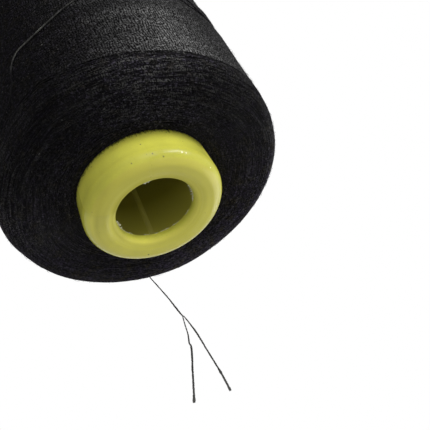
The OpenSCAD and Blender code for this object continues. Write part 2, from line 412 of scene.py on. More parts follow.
def off(azimuth, direction):
    """Angles away from a direction, up to half a turn either way."""
    return (azimuth - direction + math.pi) % FULL_CIRCLE - math.pi


def scaled(colour, share):
    """A colour made brighter or darker."""
    return [share * c for c in colour]


def unit(vectors):
    """Vectors of length 1 along the last axis."""
    return vectors / np.maximum(np.linalg.norm(vectors, axis=-1, keepdims=True), 1e-12)


class Mesh:
    """Vertices and faces gathered for one piece."""

    def __init__(self):
        self.points = []
        self.faces = []
        self.count = 0

    def add(self, points, faces):
        """Adds points, and faces that count from the first of them."""
        self.points.append(np.asarray(points, float).reshape(-1, 3))
        self.faces += [[i + self.count for i in face] for face in faces]
        self.count += len(self.points[-1])

    def skin(self, rings, looped=False):
        """Adds rings of points and the faces between them. The ends are capped, or joined to each other."""
        rings = np.asarray(rings, float)
        count, corners = rings.shape[:2]
        here = np.arange(count if looped else count - 1)[:, None] * corners
        after = (here + corners) % (count * corners)
        corner = np.arange(corners)
        beside = (corner + 1) % corners
        walls = np.stack([here + corner, here + beside, after + beside, after + corner], axis=-1)
        ends = [] if looped else [corner[::-1].tolist(), ((count - 1) * corners + corner).tolist()]
        self.add(rings, walls.reshape(-1, 4).tolist() + ends)

    def tubes(self, centres, outward, radius, sides=3):
        """Adds closed tubes, one for each row of centres. Their first side faces outward."""
        ahead = unit(np.gradient(centres, axis=1))
        across = unit(np.cross(ahead, outward))
        outward = np.cross(across, ahead)
        turn = FULL_CIRCLE * np.arange(sides) / sides
        radius = np.broadcast_to(np.asarray(radius, float), centres.shape[:2])[:, :, None, None]
        out, aside = np.cos(turn)[:, None] * outward[:, :, None], np.sin(turn)[:, None] * across[:, :, None]
        for rings in centres[:, :, None] + radius * (out + aside):
            self.skin(rings)

    def piece(self, name, material, slot, replaced=()):
        """Makes the object, which rides on the part, and hides the solids that it stands for."""
        mesh = bpy.data.meshes.new(name)
        mesh.from_pydata(np.concatenate(self.points), [], self.faces)
        mesh.shade_smooth()
        mesh.materials.append(material)
        made = bpy.data.objects.new(name, mesh)
        bpy.context.scene.collection.objects.link(made)
        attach(made, "root")
        if replaced:
            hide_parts(*replaced)
        return made


class Section:
    """The wound thread's section from the core at its base to the core at its nose, by distance along it."""

    def __init__(self, core, winding):
        self.core, self.winding = core, winding
        lean = np.array([-math.sin(winding.slope), math.cos(winding.slope)])
        base = [core_wall(core, winding.base_height), winding.base_height]
        shoulder = [flank_radius(winding, winding.shoulder_height), winding.shoulder_height]
        crown = [flank_radius(winding, winding.flank_top), winding.flank_top]
        nose = [core_wall(core, winding.top_height), winding.top_height]
        steps = np.linspace(0, 1, 120)
        base_dome = cubic(self.handles(base, -winding.dome_angle, shoulder, -lean, winding), steps)
        nose_dome = cubic(self.handles(nose, winding.dome_angle, crown, lean, winding), steps)
        flank = np.linspace(shoulder, crown, 300)[1:-1]
        self.places = np.concatenate([base_dome, flank, nose_dome[::-1]])
        self.reach = reached(self.places)
        along = unit(np.gradient(self.places, axis=0))
        self.outward = np.stack([along[:, 1], -along[:, 0]], axis=1)
        self.shoulder = self.reach[len(base_dome) - 1]
        self.crown = self.reach[len(base_dome) + len(flank)]
        self.length = self.reach[-1]

    @staticmethod
    def handles(start, leave, end, along, winding):
        """Control points of a domed end, which leaves the core at an angle and meets the flank along it."""
        start, end = np.array(start), np.array(end)
        handle = winding.dome_fullness * np.linalg.norm(end - start)
        leaving = np.array([math.cos(leave), math.sin(leave)])
        return [start, start + handle * leaving, end + handle * along, end]

    def lay(self, distance, azimuth, out):
        """Points on the wound thread moved out from its surface, and the outward directions there."""
        look_up = (*self.places.T, *self.outward.T)
        radius, height, out_r, out_z = (np.interp(distance, self.reach, values) for values in look_up)
        swollen = out + swelling(azimuth, height)
        points = turned(radius + swollen * out_r, azimuth, height + swollen * out_z)
        return points, turned(out_r, azimuth, out_z)


def core_wall(core, height):
    """Radius of the core's outer wall at a height."""
    foot = core.diameter / 2 - core.base_round
    return foot + core.base_round / math.cos(core.slope) - (height - core.base_round) * math.tan(core.slope)


def flank_radius(winding, height):
    """Radius of the wound thread's flank at a height."""
    return winding.diameter / 2 - (height - winding.shoulder_height) * math.tan(winding.slope)


def looked_up(table, values, period=None):
    """Values read from a table of pairs."""
    places, results = np.array(table, float).T
    return np.interp(values, places, results, period=period)


def swelling(azimuth, height):
    """Unevenness of the wound thread: how far it stands proud, by direction and height."""
    waves = [size * np.sin(times * azimuth + climb * height + start) for times, climb, start, size in WAVES]
    side = np.exp(-(off(azimuth, FULL_TURN) ** 2) / FULL_SPREAD) * looked_up(FULL_SIDE, height / MM)
    near = np.exp(-(((height / MM - ROUND_HEIGHT) / ROUND_REACH) ** 2))
    return (sum(waves) + side + near * looked_up(FULL_ROUND, np.degrees(azimuth), 360)) * MM


def edge_rise(azimuth):
    """How high above the shoulder the outermost layer ends."""
    return looked_up(EDGE_RISE, np.degrees(azimuth), 360) * MM


def terraces(below, azimuth):
    """How far the layers that end below the shoulder stand back, by distance below it and direction."""
    sunk = 0
    wander = 0.3 * np.sin(3 * azimuth + 0.4) + 0.2 * np.sin(7 * azimuth + 2)
    for number, (start, end, depth) in enumerate(TERRACES):
        far = below / MM + wander * (number > 0)
        inside = (far >= start) & (far < end)
        sunk = sunk + inside * depth * (1 - (far - start) / (end - start))
    near = np.exp(-(off(azimuth, TERRACE_TURN) ** 4) / TERRACE_SPREAD)
    return -sunk * (TERRACE_LEAST + (1 - TERRACE_LEAST) * near) * MM


# ---- materials


def arithmetic(operation, swapped=False):
    """A method that gives a Math node's result for a number and what it is put together with."""

    def method(self, other):
        return self.recipe.maths(operation, *((other, self) if swapped else (self, other)))

    return method


class Wire:
    """A socket that carries a number, a colour or a place. Arithmetic on a number adds Math nodes."""

    def __init__(self, recipe, socket):
        self.recipe = recipe
        self.socket = socket

    __add__ = __radd__ = arithmetic("ADD")
    __sub__ = arithmetic("SUBTRACT")
    __rsub__ = arithmetic("SUBTRACT", swapped=True)
    __mul__ = __rmul__ = arithmetic("MULTIPLY")
    __pow__ = arithmetic("POWER")
    __gt__ = arithmetic("GREATER_THAN")
    __lt__ = arithmetic("LESS_THAN")

    def between(self, low, high):
        """0 where this number is below low, 1 where it is above high, and even between."""
        sockets = {0: self, 1: low, 2: high, 3: 0.0, 4: 1.0}
        return self.recipe.node("ShaderNodeMapRange", {"clamp": True}, sockets)

    def mix(self, low, high):
        """A colour between two others, by this share."""
        return self.recipe.node("ShaderNodeMix", {"data_type": "RGBA"}, {0: self, 6: low, 7: high}, 2)

    def tint(self, colour, tint):
        """A colour times a tint, by this share."""
        settings = {"data_type": "RGBA", "blend_type": "MULTIPLY"}
        return self.recipe.node("ShaderNodeMix", settings, {0: self, 6: colour, 7: tint}, 2)

    def brighter(self, times):
        """This colour times a number."""
        sockets = {"Vector": self, "Scale": times}
        return self.recipe.node("ShaderNodeVectorMath", {"operation": "SCALE"}, sockets)

    def by_direction(self, table, column=1):
        """A number read at this direction from a column of a table, whose rows start with degrees."""
        values = [row[column] for row in table]
        least, most = min(values), max(values)
        stops = [((row[0] + 180) / 360, (row[column] - least) / (most - least)) for row in table]
        sockets = {"Fac": self.between(-math.pi, math.pi)}
        return self.recipe.node("ShaderNodeValToRGB", {"stops": stops}, sockets) * (most - least) + least

    def noise(self, scale, detail=2.0, roughness=0.5):
        """Noise at this place, as numbers about 0.5: the larger its scale, the finer it is."""
        sockets = {"Vector": self, "Scale": scale, "Detail": detail, "Roughness": roughness}
        return self.recipe.node("ShaderNodeTexNoise", {}, sockets)

    def bump(self, distance, strength):
        """A normal that follows this height."""
        sockets = {"Height": self, "Distance": distance, "Strength": strength}
        return self.recipe.node("ShaderNodeBump", {}, sockets)


class Recipe:
    """The node tree of a material, or of the world."""

    def __init__(self, owner):
        self.owner = owner
        owner.use_nodes = True
        self.tree = owner.node_tree

    @classmethod
    def of_material(cls, name):
        """The node tree of a new material, and the place on the object as a vector for its textures."""
        recipe = cls(bpy.data.materials.new(name))
        return recipe, recipe.node("ShaderNodeTexCoord", {}, {}, "Object")

    def node(self, kind, settings, sockets, output=0):
        """Adds a node: its settings first, then the values or links of its sockets."""
        made = self.tree.nodes.new(kind)
        for name, value in settings.items():
            if name == "stops":
                self.set_stops(made.color_ramp, value)
            else:
                setattr(made, name, value)
        for key, value in (sockets.items() if isinstance(sockets, dict) else enumerate(sockets)):
            self.feed(made.inputs[key], value)
        return Wire(self, made.outputs[output])

    @staticmethod
    def set_stops(ramp, stops):
        """Gives a colour ramp its stops, as (place, grey)."""
        while len(ramp.elements) < len(stops):
            ramp.elements.new(1)
        for element, (place, grey) in zip(ramp.elements, stops):
            element.position = place
            element.color = (grey, grey, grey, 1)

    def feed(self, socket, value):
        """Links a wrapped socket, or sets a plain value."""
        if isinstance(value, Wire):
            self.tree.links.new(value.socket, socket)
        elif hasattr(socket.default_value, "__len__") and len(socket.default_value) == 4:
            socket.default_value = (*value, 1)
        else:
            socket.default_value = value

    def maths(self, operation, *values):
        """A Math node's result."""
        return self.node("ShaderNodeMath", {"operation": operation}, values)

    def places(self, where):
        """A place's three coordinates, its direction from +X and its distance from the axis."""
        x, y, z = (self.node("ShaderNodeSeparateXYZ", {}, {0: where}, k) for k in range(3))
        return x, y, z, self.maths("ARCTAN2", y, x), (x * x + y * y) ** 0.5

    def vector(self, x, y, z):
        """A place made of three numbers."""
        return self.node("ShaderNodeCombineXYZ", {}, (x, y, z))

    def finish(self, **sockets):
        """Feeds the shader's sockets by name, with underscores for spaces."""
        for name, value in sockets.items():
            self.feed(self.tree.nodes["Principled BSDF"].inputs[name.replace("_", " ")], value)
        return self.owner


def plastic_material(finish, core, winding):
    """Waxy, slightly see-through moulded plastic with specks, lint where the thread starts, and painted
    light, shade and glints.
    """
    recipe, where = Recipe.of_material("core_plastic")
    x, y, z, azimuth, radius = recipe.places(where)
    cloud = where.noise(160.0, 3.0)
    grain = where.noise(2600.0, 2.0, 0.6)
    pale, deep = scaled(finish.plastic, 1.06), scaled(finish.plastic, 0.92)
    warm = [c * tint for c, tint in zip(finish.plastic, (1.06, 0.99, 1.25))]
    colour = (0.6 * cloud + 0.4 * grain).between(0.36, 0.64).mix(deep, pale)
    face = z.between(1.3 * MM, 0.9 * MM)
    colour = (0.6 * face).mix(colour, scaled(warm, 0.96))
    # Painted light and shade: the wall brighter and the rounding darker by height, and the base, rounding
    # and wall brighter or darker by direction.
    rise = 1.06 - 0.17 * z.between(0.2 * MM, 2.4 * MM) + 0.38 * z.between(5 * MM, 9.5 * MM)
    painted_light_share = azimuth.by_direction(FACE_PAINTED_LIGHT)
    painted_light_share += z.between(0.1 * MM, 0.6 * MM) * (azimuth.by_direction(WALL_PAINTED_LIGHT, 1) - painted_light_share)
    painted_light_share += z.between(2.8 * MM, 4.4 * MM) * (azimuth.by_direction(WALL_PAINTED_LIGHT, 2) - painted_light_share)
    colour = colour.brighter(rise * painted_light_share)
    # Painted light on the lip, where light comes through it, by direction.
    lip = radius.between(core.hole_radius + 2.2 * MM, core.hole_radius + 0.9 * MM)
    painted_lip_light = 1.0 + lip * (azimuth.by_direction(LIP_PAINTED_LIGHT) - 1.0)
    colour = colour.brighter(painted_lip_light)
    # Painted rim light: the colour turns paler and brighter at grazing angles along the plastic's edges.
    thin = recipe.node("ShaderNodeLayerWeight", {}, {"Blend": 0.5}, "Facing")
    colour = (0.9 * thin.between(0.8, 0.9)).mix(colour, (0.88, 0.84, 0.12))
    wall = core.diameter / 2 - 0.7 * core.wall
    inside = (radius < wall - z * math.tan(core.slope)) * (z > core.dish + core.lip + core.land)
    bore = inside * (z < core.height - core.wall / 2)
    # Painted shade and painted light inside the bore: darker deep in, paler near the base.
    depth = z.between(9 * MM, 24 * MM)
    hollow = depth.mix(finish.hollow_painted_light, finish.hollow)
    # Painted light on the weld rib inside the bore, fading deeper in.
    aside = recipe.maths("ABSOLUTE", x * math.sin(core.rib_turn) - y * math.cos(core.rib_turn))
    rib = aside.between(0.66 * core.rib_width, 0.5 * core.rib_width)
    hollow = ((1.0 - 0.62 * depth) * rib).mix(hollow, (1.0, 0.95, 0.3))
    colour = bore.mix(colour, hollow)
    specks = where.noise(1500.0, 0.0) > 0.86
    colour = (0.6 * specks).mix(colour, (0.16, 0.15, 0.05))
    # Dark specks, and painted glints of light on the rounding.
    for turn, out, height, size, tint in SPECKS:
        place = turned(out * MM, math.radians(turn), height * MM)
        gap = recipe.node("ShaderNodeVectorMath", {"operation": "DISTANCE"}, (where, tuple(place)), "Value")
        colour = (0.75 * gap.between(size * MM, 0.6 * size * MM)).mix(colour, tint)
    outside = radius > core_wall(core, winding.base_height) - core.wall / 2
    below_thread = z.between(winding.base_height - 2.4 * MM, winding.base_height)
    streaks = recipe.vector(azimuth * 30.0, z * 420.0, 0.0).noise(1.0, 4.0, 0.7)
    lint = (streaks + 0.3 * below_thread).between(0.68, 0.84) * below_thread * outside
    colour = (0.8 * lint).mix(colour, (0.09, 0.085, 0.03))
    dished = radius.between(core.hole_radius + 3 * MM, core.hole_radius + 2 * MM)
    duller = azimuth.between(math.radians(-74), math.radians(-88)) * (azimuth > math.radians(-150))
    roughness = 0.08 + 0.1 * grain + 0.06 * cloud + 0.4 * lint + 0.4 * bore + 0.4 * dished + 0.4 * duller
    normal = (0.7 * grain + 0.6 * cloud).bump(0.00003, 0.4)
    return recipe.finish(
        Base_Color=colour,
        Roughness=roughness,
        Normal=normal,
        Specular_IOR_Level=0.2,
        Subsurface_Weight=0.2,
        Subsurface_Radius=(1.0, 0.95, 0.25),
        Subsurface_Scale=0.0006,
    )


def strand_texture(recipe, where, azimuth, radius, z):
    """Shares of light from the spun thread: short strands that run round, and a fine speckle of fibres."""
    round_way = recipe.vector(azimuth * 0.014, radius, z)
    strands = round_way.noise(1500.0, 2.0, 0.6)
    speckle = where.noise(1900.0, 1.0)
    return strands, speckle


def wound_material(finish, winding):
    """Wound black thread: columns of crossings on the flank, short strands on the domed ends, pale lint, and
    painted sheen, light and shade.
    """
    recipe, where = Recipe.of_material("wound_thread")
    _, _, z, azimuth, radius = recipe.places(where)
    strands, speckle = strand_texture(recipe, where, azimuth, radius, z)
    edge = winding.shoulder_height + azimuth.by_direction(EDGE_RISE) * MM
    flank = (z - edge).between(-0.2 * MM, 0.4 * MM) * (z < winding.flank_top)
    meander = where.noise(150.0, 2.0)
    columns = recipe.maths("SINE", azimuth * (2.0 * winding.runs) + 26.0 * meander)
    ripple = 0.5 + 0.5 * columns
    drift = where.noise(420.0, 1.0)
    fleck = where.noise(1500.0, 1.0)
    dark, pale = finish.thread, finish.thread_painted_sheen
    # lit is the painted sheen on the flank: the pale colour with the weave's texture in it.
    weave = 1.5 * ripple * drift.between(0.2, 0.45) + 5.5 * (speckle - 0.5) - 0.3
    lit = weave.mix(scaled(pale, 0.12), scaled(pale, 2.1))
    bright = (fleck + 0.12 * ripple).between(0.6, 0.7)
    lit = (0.75 * bright).mix(lit, scaled(pale, 5.2))
    calm = azimuth.by_direction(CALM)
    slanted = recipe.vector(0.014 * azimuth, radius + 0.006 * azimuth, z).noise(2300.0, 1.0, 0.6)
    lie = (5.5 - 2.3 * calm) * (speckle - 0.5) + (1.2 - 0.7 * calm) * (strands - 0.5)
    lie = lie + 3.6 * calm * (slanted - 0.5) + 0.36
    shade = lie.mix(scaled(dark, 0.1), scaled(dark, 2.2))
    bits = fleck.between(0.58, 0.66) * (1.0 - 0.55 * calm)
    shade = bits.mix(shade, scaled(dark, 8.5))
    rows = recipe.vector(azimuth * 0.0075, radius, z).noise(1350.0, 0.0)
    splits = recipe.vector(azimuth * 0.0035, z, radius).noise(1500.0, 0.0)
    beads = 0.5 + 0.5 * recipe.maths("SINE", azimuth * 360.0 + 9.0 * rows + 14.0 * meander)
    ends = radius.between(0.26 * winding.diameter, 0.46 * winding.diameter) * (1.0 - 0.9 * flank)
    dots = rows.between(0.48, 0.6) * (beads + 4.5 * (speckle - 0.5)).between(0.3, 0.9)
    patches = where.noise(340.0, 3.0, 0.7)
    dull = (0.45 + 0.4 * calm) * (1.0 - 0.75 * flank * azimuth.by_direction(PAINTED_SHEEN))
    shade = (dull * patches.between(0.52, 0.62)).tint(shade, (1.04, 0.93, 0.5))
    shade = (dull * patches.between(0.52, 0.4)).tint(shade, (0.93, 0.8, 1.14))
    loops = scaled((dark[0], dark[0], 0.95 * dark[0]), 9.3)
    shade = ((0.08 + 0.92 * ends) * dots * (1.0 - calm)).mix(shade, loops)
    # Painted shade in the gaps between groups of thread on the domed ends.
    painted_gap_shade = splits.between(0.385, 0.33) * ends * (1.0 - 0.8 * calm)
    shade = (0.85 * painted_gap_shade).mix(shade, scaled((dark[2], 0.6 * dark[1], 1.5 * dark[2]), 0.1))
    shade = (0.22 * calm * (1.0 - flank)).mix(shade, scaled(dark, 1.35))
    # Painted light and shade on the thread below the edge, by direction, near the core and near the edge.
    near, far = azimuth.by_direction(DOME_PAINTED_LIGHT, 1), azimuth.by_direction(DOME_PAINTED_LIGHT, 2)
    toned = shade.brighter(near + radius.between(28 * MM, 42 * MM) * (far - near))
    # Painted light and shade on the thread above the edge, by direction.
    flat = shade.brighter(azimuth.by_direction(FLANK_PAINTED_LIGHT))
    shade = (z - edge).between(0.4 * MM, -3.0 * MM).mix(flat, toned)
    # Painted sheen by height: brighter in bands across the flank, brighter near the edge and dimmer in a
    # ring higher up.
    bands = recipe.vector(azimuth * 0.004, 0.0, z).noise(170.0, 2.0)
    dim_ring = z.between(43 * MM, 47.5 * MM) * z.between(53 * MM, 50 * MM)
    sheen = 1.0 + 0.35 * z.between(31 * MM, 25 * MM) - 0.36 * dim_ring
    lit = lit.brighter(sheen * (0.6 + 0.8 * bands.between(0.3, 0.7)))
    # Painted sheen: the flank's thread takes the painted sheen's colour, by direction.
    shade = (flank * azimuth.by_direction(PAINTED_SHEEN)).mix(shade, lit)
    lint = where.noise(1000.0, 1.0) > 0.775
    shade = (0.6 * lint).mix(shade, (0.15, 0.15, 0.14))
    fibres = (0.8 - 0.3 * calm) * speckle + 0.5 * calm * slanted + (0.5 - 0.35 * calm) * strands
    normal = (0.5 * ripple * flank + fibres).bump(0.00016, 0.9)
    return recipe.finish(
        Base_Color=shade,
        Roughness=0.5 + 0.25 * speckle,
        Normal=normal,
        Specular_IOR_Level=0.05,
    )


def mottled_material(name, grain, levels, dark, pale, roughness, gloss):
    """A material whose colour wanders between two shades in a fine noise, given as (scale, detail)."""
    recipe, where = Recipe.of_material(name)
    shade = where.noise(*grain).between(*levels).mix(dark, pale)
    return recipe.finish(Base_Color=shade, Roughness=roughness, Specular_IOR_Level=gloss)


def loose_material(finish):
    """Loose black thread, with a painted highlight where the slack turn stands off the flank, a painted
    sheen beside the flank's, and painted shade lower down.
    """
    recipe, where = Recipe.of_material("loose_thread")
    _, y, z, azimuth, radius = recipe.places(where)
    strands, speckle = strand_texture(recipe, where, azimuth, radius, z)
    left_side = azimuth.between(math.radians(-70), math.radians(-92)) * (azimuth > math.radians(-150))
    uneven = where.noise(260.0, 2.0)
    # Painted highlight where the slack turn stands off the flank.
    caught = left_side * z.between(40 * MM, 48 * MM) * uneven.between(0.3, 0.62)
    on_floor = z < 1.2 * MM
    # Painted sheen: beside the flank's painted sheen, the loose end takes a share of its colour.
    painted_sheen_side = azimuth.between(math.radians(-75), math.radians(-62)) * (azimuth < math.radians(40))
    shade = painted_sheen_side.mix(finish.thread, scaled(finish.thread_painted_sheen, 0.6))
    shade = caught.mix(shade, finish.slack)
    # Painted shade: lower down on that side the loose end is darker.
    sunk = left_side * z.between(44 * MM, 40 * MM)
    shade = sunk.mix(shade, scaled(finish.thread, 0.4))
    shade = on_floor.mix(shade, finish.loose_thread)
    frayed = on_floor * y.between(92 * MM, 102 * MM)
    shade = frayed.mix(shade, scaled(finish.loose_thread, 2.0))
    spun = (0.5 * strands + 0.5 * speckle).between(0.4, 0.65)
    shade = spun.mix(shade, shade.brighter(1.9))
    return recipe.finish(
        Base_Color=shade,
        Roughness=0.7,
        Normal=(strands + speckle).bump(0.00008, 0.6),
        Specular_IOR_Level=0.06,
    )


def floor_material(finish):
    """Pale matt floor that is seen from above only, so that the base can be looked at from below."""
    recipe = Recipe(bpy.data.materials.new("floor"))
    recipe.finish(Base_Color=finish.floor, Roughness=0.9)
    below = recipe.node("ShaderNodeNewGeometry", {}, {}, "Backfacing")
    clear = recipe.node("ShaderNodeBsdfTransparent", {}, {})
    opaque = Wire(recipe, recipe.tree.nodes["Principled BSDF"].outputs[0])
    shown = recipe.node("ShaderNodeMixShader", {}, (below, opaque, clear))
    recipe.feed(recipe.tree.nodes["Material Output"].inputs["Surface"], shown)
    return recipe.owner


# ---- pieces


def core_section(core):
    """Closed section of the core: from the land in its base hole, round the outside and back inside."""
    hole, foot = core.hole_radius, core.diameter / 2 - core.base_round
    lip_height = core.dish + core.lip
    land_top = lip_height + core.land
    slope = math.degrees(core.slope)
    nose_height = core.height - core.nose_round
    nose = core_wall(core, nose_height) - core.nose_round / math.cos(core.slope)
    inner_foot = foot - core.foot_width
    outside_low, outside_high = core_wall(core, core.base_round), core_wall(core, nose_height)
    wall_out = np.linspace((outside_low, core.base_round), (outside_high, nose_height), 60)[1:-1]
    lean = core.wall / math.cos(core.slope)
    wall_in = wall_out[::-1] - [lean, 0]
    parts = [
        np.linspace((hole, land_top), (hole, lip_height), 4)[:-1],
        arc((hole + core.lip, lip_height), core.lip, 180, 270),
        np.linspace((hole + core.lip, core.dish), (inner_foot, 0), 5)[1:-1],
        np.linspace((inner_foot, 0), (foot, 0), 4)[:-1],
        arc((foot, core.base_round), core.base_round, -90, slope, 24),
        wall_out,
        arc((nose, nose_height), core.nose_round, slope, 90, 12),
        [(core.nose_hole_radius, core.height), (core.nose_hole_radius, core.height - core.wall)],
        arc((nose, nose_height), core.nose_round - core.wall, 90, slope, 8),
        wall_in,
        arc((foot, core.base_round), core.base_round - core.wall, slope, -90, 20),
        [(inner_foot, core.wall)],
        arc((hole + core.lip, lip_height), core.lip - core.wall, 270, 180, 8),
        [(hole + core.wall, land_top)],
    ]
    return np.concatenate([np.asarray(part, float) for part in parts])


def make_core(core, winding, finish):
    """The hollow plastic core with its two weld ribs."""
    made = Mesh()
    section = core_section(core)
    made.skin(turned(section[:, :1], FULL_CIRCLE * np.arange(256) / 256, section[:, 1:]), looped=True)
    height = np.linspace(core.base_round, core.height - core.nose_round, 30)[:, None]
    across, depth = np.array(RIB_SECTION).T * [[core.rib_width], [core.rib_height]]
    away = core_wall(core, height) - core.wall / math.cos(core.slope) + depth
    for turn in (core.rib_turn, core.rib_turn + math.pi):
        made.skin(turned(away, turn, height) + turned(across, turn + math.pi / 2, 0))
    made.piece("core_shell", plastic_material(finish, core, winding), "core_plastic", ("cone_core",))


def make_flash(core):
    """Ragged flash on the edge of the base hole: thin teeth that reach into the hole."""
    draws = np.random.default_rng(SEEDS["mould_flash"])
    made = Mesh()
    lip_height = core.dish + core.lip
    for start, end, most, height in FLASH:
        steps = max(4, round(end - start) * 2)
        turn = np.radians(np.linspace(start, end, steps + 1))
        share = np.linspace(0, 1, steps + 1)
        ragged = np.convolve(draws.uniform(0, 1, steps + 3), [0.25, 0.5, 0.25], mode="valid")
        ends = np.minimum(1, 8 * np.minimum(share, 1 - share) + 0.1)
        reach = np.clip(ragged * 1.9 - 0.55, 0.06, 1) * most * MM * ends
        level = height * MM
        rounded = core.lip - math.sqrt(core.lip**2 - max(lip_height - level, 0) ** 2)
        outer, inner = core.hole_radius + rounded + 0.08 * MM, core.hole_radius + rounded - reach
        tip = level + draws.uniform(-0.12, 0.12, steps + 1) * MM
        corners = ((outer, level), (inner, tip), (inner, tip + 0.12 * MM), (outer, level + 0.2 * MM))
        made.skin(np.stack([turned(radius, turn, z) for radius, z in corners], axis=1))
    pale_plastic = mottled_material(
        "mould_flash", (1800.0, 2.0), (0.35, 0.65), (0.5, 0.48, 0.24), (0.9, 0.9, 0.74), 0.5, 0.2
    )
    made.piece("mould_flash", pale_plastic, "core_plastic")


def make_package(section, material):
    """The wound thread's own surface, which shows between the outermost threads."""
    core, winding = section.core, section.winding
    rows, columns = 300, 288
    draws = np.random.default_rng(SEEDS["wound_thread"])
    distance = np.interp(
        np.linspace(0, 1, rows),
        [0, 0.42, 0.8, 1],
        [0, section.shoulder + 3 * MM, section.crown - 2 * MM, section.length],
    )[:, None]
    azimuth = FULL_CIRCLE * np.arange(columns) / columns
    ridges = np.convolve(draws.normal(size=rows + 4), [0.25, 0.5, 0.25], mode="same")[:rows, None]
    uneven = 1 + 0.4 * np.sin(3 * azimuth + 0.2 * np.arange(rows)[:, None])
    out = -UNDER + 0.05 * MM * ridges * uneven
    out = out + terraces(section.shoulder + edge_rise(azimuth) - distance, azimuth)
    points, _ = section.lay(np.repeat(distance, columns, 1), azimuth, out)
    height = np.linspace(winding.top_height, winding.base_height, 12)[:, None]
    seat = turned(core_wall(core, height) - SEATED, azimuth, height)
    made = Mesh()
    made.skin(np.concatenate([points, seat]), looped=True)
    made.piece("wound_thread", material, "wound_thread", ("thread_body",))


def make_flank_thread(section, material):
    """The outermost thread on the flank: runs up and down that cross, and turn back at the two shoulders."""
    winding, draws = section.winding, np.random.default_rng(SEEDS["flank_thread"])
    middle = (section.shoulder + section.crown) / 2
    half = (section.crown - section.shoulder) / 2
    mean_radius = flank_radius(winding, (winding.shoulder_height + winding.flank_top) / 2)
    turns = 2 * half / (FULL_CIRCLE * mean_radius * math.tan(winding.wind_angle))
    steps = 2 * round(turns * FLANK_STEPS) + 1
    phase = np.linspace(0, 1, steps)
    wave = 1 - 4 * np.abs(phase - 0.5)
    corner = 0.05
    past = np.maximum(np.abs(wave) - (1 - corner), 0)
    wave = np.sign(wave) * (np.abs(wave) - past * past / (2 * corner)) / (1 - corner / 2)
    runs = winding.runs
    first = FULL_CIRCLE * (np.arange(runs)[:, None] + draws.normal(0, 0.06, (runs, 1))) / runs
    reach = half + draws.uniform(-0.3, 0.25, (runs, 1)) * MM
    shift = draws.normal(0, 0.08, (runs, 1)) * MM
    azimuth = first + FULL_CIRCLE * 2 * turns * phase
    distance = middle + shift + reach * wave
    distance = distance + edge_rise(azimuth) * (section.crown - distance) / (2 * half)
    sway = 0.05 * MM * np.sin(azimuth * 7 + first * 40) * np.sin(first * 90)
    layer = 0.02 * MM + draws.uniform(0, 0.12, (runs, 1)) * MM
    sink = np.clip(np.abs(wave) * 40 - 39, 0, 1) * 0.05 * MM
    centres, outward = section.lay(distance + sway, azimuth, layer - sink)
    for first_run, name, replaced in ((0, "flank_thread_1", ("outer_turns",)), (1, "flank_thread_2", ())):
        made = Mesh()
        made.tubes(centres[first_run::2], outward[first_run::2], winding.thread * THREAD_SHARE)
        made.piece(name, material, "wound_thread", replaced)


def make_end_thread(section, material, name, count, low, high, inward):
    """Arcs of thread on a domed end: each comes up out of the package, turns back, and goes down into it."""
    draws = np.random.default_rng(SEEDS[name])
    share = np.linspace(-1, 1, 26)
    distance = low + (high - low) * draws.uniform(0, 1, (count, 1)) ** 0.8
    width = np.radians(draws.uniform(16, 62, (count, 1)))
    azimuth = draws.uniform(0, FULL_CIRCLE, (count, 1)) + width * share
    drift = inward * draws.uniform(0.05, 0.9, (count, 1)) * MM * share**2
    tilt = draws.normal(0, 0.2, (count, 1)) * MM * share
    out = draws.uniform(-0.02, 0.16, (count, 1)) * MM - 0.3 * MM * share**4
    distance = distance + drift + tilt
    if inward > 0:
        edge = section.shoulder + edge_rise(azimuth)
        distance = distance * edge / section.shoulder
        out = out + terraces(edge - distance, azimuth)
    centres, outward = section.lay(distance, azimuth, out)
    made = Mesh()
    made.tubes(centres, outward, section.winding.thread * THREAD_SHARE)
    made.piece(name, material, "wound_thread")


def make_fuzz(section, material):
    """Fine fibres that stand out of the spun thread."""
    draws = np.random.default_rng(SEEDS["thread_fuzz"])
    count, steps = section.winding.fibres, 4
    along = draws.uniform(0, 1, count) ** 1.6 * section.length
    azimuth = draws.uniform(0, FULL_CIRCLE, count)
    roots, outward = section.lay(along, azimuth, 0.15 * MM)
    level = unit(np.cross(UP, outward))
    rise = np.cross(outward, level)
    turn = draws.uniform(0, FULL_CIRCLE, (count, 1))
    ahead = np.cos(turn) * level + 0.6 * np.sin(turn) * rise
    length = draws.uniform(0.5, 2.2, (count, 1, 1)) * MM
    share = np.linspace(0, 1, steps)[:, None]
    stand = draws.uniform(0.03, 0.3, (count, 1, 1)) * np.sin(share * 2.4)
    curl = draws.normal(0, 0.5, (count, 1, 1)) * share**2
    bend = share * ahead[:, None] + stand * outward[:, None] + curl * level[:, None]
    made = Mesh()
    made.tubes(roots[:, None] + length * bend, np.repeat(outward[:, None], steps, 1) + 0.01, 0.03 * MM)
    made.tubes(*rim_fibres(section.core, section.winding, 260, draws), 0.035 * MM)
    made.piece("thread_fuzz", material, "wound_thread")


def rim_fibres(core, winding, count, draws):
    """Fibres that lie over the core's wall where the thread starts on it."""
    share = np.linspace(0, 1, 5)
    azimuth = draws.uniform(0, FULL_CIRCLE, (count, 1)) + draws.normal(0, 0.05, (count, 1)) * share
    azimuth = azimuth + draws.normal(0, 0.03, (count, 1)) * share**2
    height = winding.base_height + (0.5 - draws.uniform(0.5, 2.4, (count, 1)) * share) * MM
    radius = core_wall(core, height) + (0.06 + draws.uniform(0, 0.5, (count, 1)) * np.sin(2.6 * share)) * MM
    return turned(radius, azimuth, height), turned(1, azimuth, 0)


def round_the_flank(winding, turn):
    """Places of a loose turn round the flank, which stays clear of the thread below it."""
    direction, height, out = np.array(turn, float).T * [[math.radians(1)], [MM], [MM]]
    clear = np.maximum(out, swelling(direction, height) + CLEAR)
    stand = np.where(out > TOUCHING, clear, out)
    return turned(flank_radius(winding, height) + stand, direction, height)


